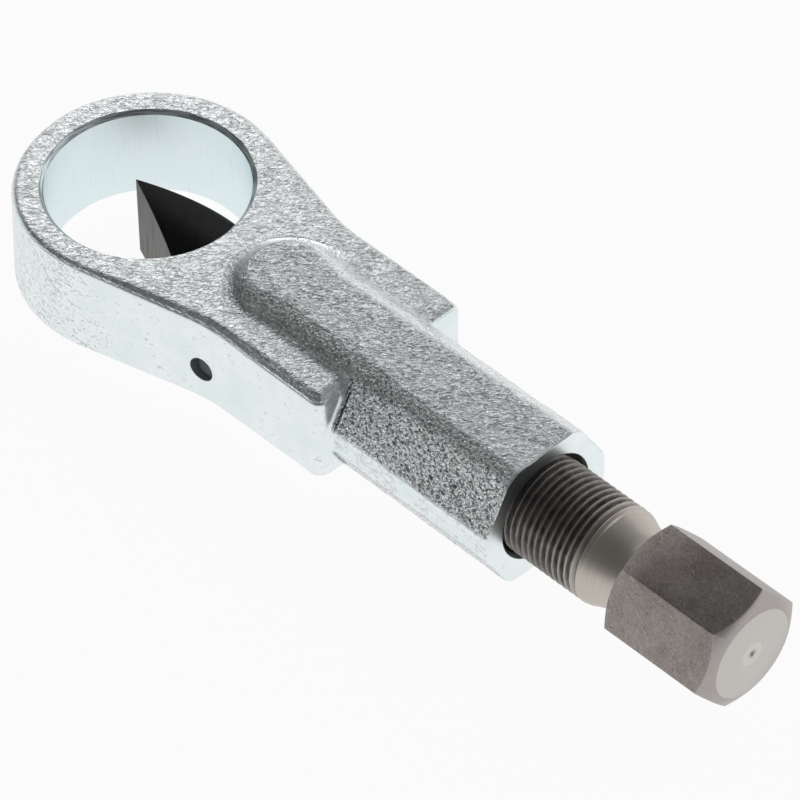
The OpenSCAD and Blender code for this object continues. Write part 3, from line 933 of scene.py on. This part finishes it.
# %% Head finish
def head_steel():
    f = Finish("head_steel")
    blotch = f.noise(5.0, 5.0, 0.6)
    fine = f.noise(0.5, 4.0, 0.65)
    marks = f.noise(1.0, 3.0, 0.6, vector=f.stretched((2.2, 0.7, 0.7), (0.9, 0.7, 0.3)), warp=1.5)
    scratch = f.noise(1.0, 1.0, 0.5, vector=f.stretched((7.0, 0.28, 0.28), (0.3, 0.4, -0.5)))
    steel = f.mix(blotch.limit(0.35, 0.68), (0.275, 0.24, 0.225), (0.375, 0.335, 0.316))
    steel = f.mix(marks.limit(0.58, 0.66) * 0.6, steel, (0.09, 0.08, 0.075))
    steel = f.mix(fine.limit(0.55, 0.75) * 0.45, steel, (0.52, 0.49, 0.47))
    steel = f.mix(fine.limit(0.45, 0.28) * 0.4, steel, (0.14, 0.122, 0.115))
    steel = f.mix(scratch.limit(0.62, 0.69) * 0.4, steel, (0.62, 0.59, 0.56))
    steel = f.mix(f.attribute("edge") * blotch.limit(0.2, 0.5), steel, (0.68, 0.65, 0.62))
    around = (f.y * f.y + f.z * f.z).math("SQRT")
    cone = HEAD_END - FRONT_CONE + (HEAD_CORNER - around) * 0.62
    end = (f.x - cone).limit(-0.3, -0.12)
    face = f.x.limit(HEAD_END - 0.12, HEAD_END - 0.04)
    outwards = f.add("ShaderNodeCombineXYZ", X=around, Y=0.0, Z=0.0)
    rings = f.noise(0.25, 1.0, 0.5, vector=outwards.outputs[0])
    pale = f.mix(rings.limit(0.3, 0.7), (0.60, 0.57, 0.545), (0.67, 0.64, 0.61))
    centre = around.limit(1.0, 1.4) * (1 - around.limit(2.3, 2.7))
    pale = f.mix(centre * 0.6, pale, (0.76, 0.73, 0.70))
    pale = f.mix(1 - around.limit(0.5, 0.9), pale, (0.42, 0.40, 0.38))
    colour = f.mix(end * 0.7, steel, (0.50, 0.47, 0.45))
    f.set(Base_Color=f.mix(face, colour, pale), Metallic=0.85,
          Roughness=f.blend(face, f.blend(blotch, 0.26, 0.42), 0.4),
          Normal=f.bump(f.blend(face, fine, rings), 0.03, 0.6))
    return f


dress(head, head_steel(), "spindle", "spindle")

# %% [markdown]
# ## The chisel
# The chisel is a round shank ground on two sides to a wedge with an upright cutting edge. It is
# black from hardening, and only the ground flanks are bare. Behind the eye it carries the keyway,
# the socket for the spindle's nose and the cross hole for the retaining pin.

# %% Chisel
HALF_WEDGE = math.radians(22.5)
WEDGE_BACK = EDGE_X + 2 * CHISEL_R / math.tan(HALF_WEDGE)
KEY_FRONT, KEY_REAR, KEY_FLOOR, KEY_HALF = 20.75, 50.05, 6.85, 2.65
SOCKET_FLOOR, SOCKET_R = TAIL_X - 9, 4.58
CROSS_R, CROSS_Y = 1.3, 4.6
EDGE_HALF = 0.1
chisel = lathe("wedge_chisel", [(EDGE_X - 1, 0), (EDGE_X - 1, CHISEL_R), (TAIL_X - 0.6, CHISEL_R),
                                (TAIL_X, CHISEL_R - 0.6), (TAIL_X, 0)], 160)
wide = EDGE_HALF + (WEDGE_BACK - EDGE_X) * math.tan(HALF_WEDGE)
wedge = prism("wedge", [(EDGE_X, -EDGE_HALF), (WEDGE_BACK, -wide), (TAIL_X + 5, -wide),
                        (TAIL_X + 5, wide), (WEDGE_BACK, wide), (EDGE_X, EDGE_HALF)], -20, 20, "xy")
machine(chisel, "INTERSECT", wedge)
print("ground chisel", len(chisel.data.polygons), "faces")

# %% Keyway, socket and cross hole
turns = np.linspace(-math.pi / 2, math.pi / 2, 13)
round_end = [(KEY_HALF * math.cos(t), KEY_HALF * math.sin(t)) for t in turns]
slot_outline = [(KEY_REAR - KEY_HALF + a, PIN_Z + b) for a, b in round_end]
slot_outline += [(KEY_FRONT + KEY_HALF - a, PIN_Z - b) for a, b in round_end]
keyway = prism("keyway", slot_outline, -20, -KEY_FLOOR, "xz")
socket = lathe("socket", [(SOCKET_FLOOR, 0), (SOCKET_FLOOR, SOCKET_R), (TAIL_X + 3, SOCKET_R),
                          (TAIL_X + 3, 0)], 64)
cross_hole = lathe("cross_hole", [(-15, 0), (-15, CROSS_R), (15, CROSS_R), (15, 0)], 40,
                   axis="z", centre=(GROOVE_X, CROSS_Y, 0))
machine(chisel, "DIFFERENCE", keyway, socket, cross_hole)
smooth(chisel, 25)
print("chisel", len(chisel.data.polygons), "faces")

# %% Chisel finish
def chisel_steel():
    f = Finish("chisel_steel")
    off = f.y.math("ABSOLUTE")
    flank = (f.x - EDGE_X) * math.tan(HALF_WEDGE) + EDGE_HALF
    ground = 1 - (flank - off).limit(0.05, 0.12)
    grain = f.noise(1.0, 3.0, 0.6, vector=f.stretched((0.35, 0.35, 9.0)))
    soot = f.noise(1.6, 4.0, 0.6)
    bare = f.mix(grain.limit(0.32, 0.68), (0.04, 0.037, 0.035), (0.18, 0.171, 0.162))
    black = f.mix(soot.limit(0.3, 0.7), (0.005, 0.005, 0.005), (0.013, 0.013, 0.013))
    f.set(Base_Color=f.mix(ground, black, bare), Metallic=ground * 0.9, Specular_IOR_Level=0.12,
          Roughness=f.blend(ground, 0.5, 0.42),
          Normal=f.bump(f.blend(ground, soot * 0.3, grain), 0.03, 0.7))
    return f


dress(chisel, chisel_steel(), "chisel", "chisel")

# %% [markdown]
# ## The two pins
# The guide pin ends just below the trimmed side of the slab, so only its dull end shows. It gets a
# turned end with a chamfer. The retaining pin is inside the chisel and keeps its solid.

# %% Pins
PIN_OUT = -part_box("guide_pin")[0].y / MM
PIN_IN = -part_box("guide_pin")[1].y / MM
pin = lathe("key_pin", [
    (-PIN_OUT, 0), (-PIN_OUT, 0.5), (-PIN_OUT + 0.02, 1.2), (-PIN_OUT + 0.1, PIN_R - 0.55),
    (-PIN_OUT + 0.4, PIN_R - 0.1), (-PIN_OUT + 0.7, PIN_R - 0.02),
    (-PIN_IN - 0.4, PIN_R - 0.02), (-PIN_IN, PIN_R - 0.4), (-PIN_IN, 0)], 64,
    axis="y", centre=(PIN_X, 0, PIN_Z))
smooth(pin, 40)


def pin_steel(name, low, high, metal, gloss):
    f = Finish(name)
    dirt = f.noise(0.9, 4.0, 0.65)
    f.set(Base_Color=f.mix(dirt.limit(0.35, 0.65), low, high), Metallic=metal, Specular_IOR_Level=gloss,
          Roughness=f.blend(dirt, 0.45, 0.65), Normal=f.bump(dirt, 0.05, 0.6))
    return f


dark_end = pin_steel("key_pin_steel", (0.33, 0.39, 0.39), (0.40, 0.46, 0.46), 0.0, 0.2)
dress(pin, dark_end, "body", "guide_pin")
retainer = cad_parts["retaining_pin"]
retainer.data.materials.clear()
bright_pin = pin_steel("retainer_steel", (0.40, 0.40, 0.41), (0.55, 0.55, 0.56), 0.8, 0.5)
retainer.data.materials.append(bright_pin.material)
print("pins", len(pin.data.polygons), "faces, retainer keeps its solid")

# %% [markdown]
# ## Stage
# Bright metal shows its surroundings, so the light is arranged like a photographer's table: a white
# floor, a bright horizon behind the tool with a weak wide lamp over it, and a small soft lamp near
# the eye. The ceiling and the side towards the camera are dim, which puts the dark bands on the
# rounded edges. The floor is white to the camera and in the metal, and the sky to the camera only.

# %% Floor
FLOOR_HALF, WHITE, WHITE_IN_METAL = 9000, 0.95, 0.92
FLOOR_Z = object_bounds()[0][2] / MM
signs = ((-1, -1), (1, -1), (1, 1), (-1, 1))
floor = piece("floor", [(a * FLOOR_HALF, b * FLOOR_HALF, FLOOR_Z) for a, b in signs], [(0, 1, 2, 3)])
paper = bpy.data.materials.new("white_paper")
paper.use_nodes = True
t = Tree(paper.node_tree)
paper.node_tree.nodes.remove(paper.node_tree.nodes["Principled BSDF"])
path = t.add("ShaderNodeLightPath")
mirrored = t.val(path, "Is Glossy Ray") + t.val(path, "Is Transmission Ray")
seen = (t.val(path, "Is Camera Ray") * WHITE + mirrored * WHITE_IN_METAL).math("MINIMUM", WHITE)
sheet = t.add("ShaderNodeBsdfDiffuse", Color=(0.9, 0.9, 0.9, 1))
glow = t.add("ShaderNodeEmission", Color=(1, 1, 1, 1), Strength=1.0)
both = t.add("ShaderNodeMixShader", i0=seen, i1=sheet.outputs[0], i2=glow.outputs[0])
t.feed(paper.node_tree.nodes["Material Output"].inputs[0], both.outputs[0])
floor.data.materials.append(paper)
print("floor at", round(FLOOR_Z, 3), "mm")

# %% World
world = bpy.data.worlds.new("studio")
scene.world = world
world.use_nodes = True
t = Tree(world.node_tree)
sky = world.node_tree.nodes["Background"]
place = t.add("ShaderNodeTexCoord")
split = t.add("ShaderNodeSeparateXYZ", Vector=place.outputs["Generated"])
to_back, above = t.val(split, 1), t.val(split, 2)
far_side = to_back.ease(-0.05, 0.35)
low_sky = 1 - above.ease(0.05, 0.5)
DIM, DIM_LOW, BACK, HORIZON = 0.13, 0.05, 0.17, 0.8
room = DIM + low_sky * DIM_LOW + far_side * (BACK + low_sky * HORIZON)
path = t.add("ShaderNodeLightPath")
seen = t.val(path, "Is Camera Ray")
t.feed(sky.inputs["Strength"], seen + room * (1 - seen))
sky.inputs["Color"].default_value = (1, 1, 1, 1)
print("world of", len(world.node_tree.nodes), "nodes")

# %% Lamps
def soft_lamp(name, place, aim, size, power):
    """A rectangular lamp that the camera doesn't see."""
    data = bpy.data.lights.new(name, "AREA")
    data.shape = "RECTANGLE"
    data.size, data.size_y = size
    data.energy = power
    lamp = bpy.data.objects.new(name, data)
    scene.collection.objects.link(lamp)
    lamp.location = place
    lamp.visible_camera = False
    lamp.rotation_mode = "QUATERNION"
    lamp.rotation_quaternion = (Vector(place) - Vector(aim)).to_track_quat("Z", "Y")
    print(name, "of", power, "W")


soft_lamp("back_lamp", (0.1, 1.3, 0.8), (0.06, 0, 0), (1.4, 0.6), 1.5)
soft_lamp("eye_lamp", (-0.165, 0.11, 0.18), (-0.01, 0, 0.01), (0.18, 0.14), 0.115)
scene.view_settings.view_transform = "Standard"
